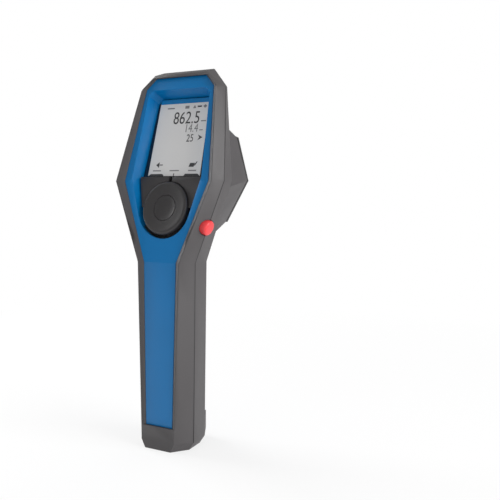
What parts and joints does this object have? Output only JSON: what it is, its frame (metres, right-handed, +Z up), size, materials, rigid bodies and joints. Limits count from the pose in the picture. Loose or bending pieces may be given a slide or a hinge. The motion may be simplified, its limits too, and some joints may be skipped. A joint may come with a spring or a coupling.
{
  "type": "hand-held stroboscope",
  "caption": "Hand-held LED stroboscope: faceted two-shell case on a handle, leaning screen with wheel and keys in front, round flash lamp behind, battery door in the handle.",
  "frame": {"origin": "on the ground under the middle of the instrument standing on its base", "axes": "+Z up along the handle, -Y out of the screen, +Y out of the lamp, +X to the right of the screen"},
  "size_m": [0.078, 0.05, 0.225],
  "materials": {
    "shell": "fine moulded grain, soft touch",
    "blue": "satin lacquer",
    "black": "smooth",
    "keys": "smooth matt",
    "bezel": "smooth matt",
    "screen": "polished, lit from behind",
    "module": "display frame",
    "board": "solder resist",
    "lamp_board": "white coated",
    "led": "phosphor",
    "lens": "clear moulded",
    "sink": "as cast",
    "bearing": "plain bearing plastic",
    "screw": "plated",
    "trigger": "satin moulded",
    "pack": "shrink sleeve",
    "can": "sleeved can",
    "brass": "turned"
  },
  "bodies": {
    "case": {"front_shell": "shell", "rear_shell": "shell", "front_panel": "blue", "control_carrier": "black", "display_window": "screen", "display_module": "module", "control_board": "board", "key_switches": "black", "wheel_bearing": "bearing", "rear_panel": "blue", "lamp_housing": "shell", "lamp_bezel": "bezel", "lens_array": "lens", "lens_screws": "screw", "leds": "led", "led_board": "lamp_board", "heat_sink": "sink", "trigger_switch": "black", "side_socket": "black", "battery_pack": "pack", "battery_contacts": "black", "main_board": "board", "flash_capacitors": "can", "case_screws": "screw", "tripod_bush": "brass"},
    "wheel": {"selection_wheel": "keys"},
    "centre_key": {"centre_button": "keys"},
    "left_key": {"left_soft_key": "keys"},
    "right_key": {"right_soft_key": "keys"},
    "trigger": {"trigger_button": "trigger"},
    "door": {"battery_door": "blue"},
    "door_screw": {"battery_door_screw": "screw"}
  },
  "joints": [
    {"name": "wheel_turn", "type": "hinge", "parent": "case", "child": "wheel", "pos_m": [0, -0.0136, 0.1419], "axis": [0, -0.9636, 0.2672], "continuous": true},
    {"name": "centre_press", "type": "slide", "parent": "case", "child": "centre_key", "axis": [0, 0.9636, -0.2672], "range_m": [0, 0.0006], "stiffness_N_per_m": 1500, "springref_m": -0.0002},
    {"name": "left_key_press", "type": "slide", "parent": "case", "child": "left_key", "axis": [0, 0.9636, -0.2672], "range_m": [0, 0.0006], "stiffness_N_per_m": 1500, "springref_m": -0.0002},
    {"name": "right_key_press", "type": "slide", "parent": "case", "child": "right_key", "axis": [0, 0.9636, -0.2672], "range_m": [0, 0.0006], "stiffness_N_per_m": 1500, "springref_m": -0.0002},
    {"name": "trigger_press", "type": "slide", "parent": "case", "child": "trigger", "axis": [-0.9312, 0, 0.3646], "range_m": [0, 0.001], "stiffness_N_per_m": 1500, "springref_m": -0.0003},
    {"name": "door_swing", "type": "hinge", "parent": "case", "child": "door", "pos_m": [0, 0.0091, 0.10715], "axis": [1, 0, 0], "range_deg": [0, 60]},
    {"name": "door_screw_turn", "type": "hinge", "parent": "door", "child": "door_screw", "pos_m": [0, 0.0085, 0.0214], "axis": [0, 1, 0], "range_deg": [-90, 0]}
  ]
}
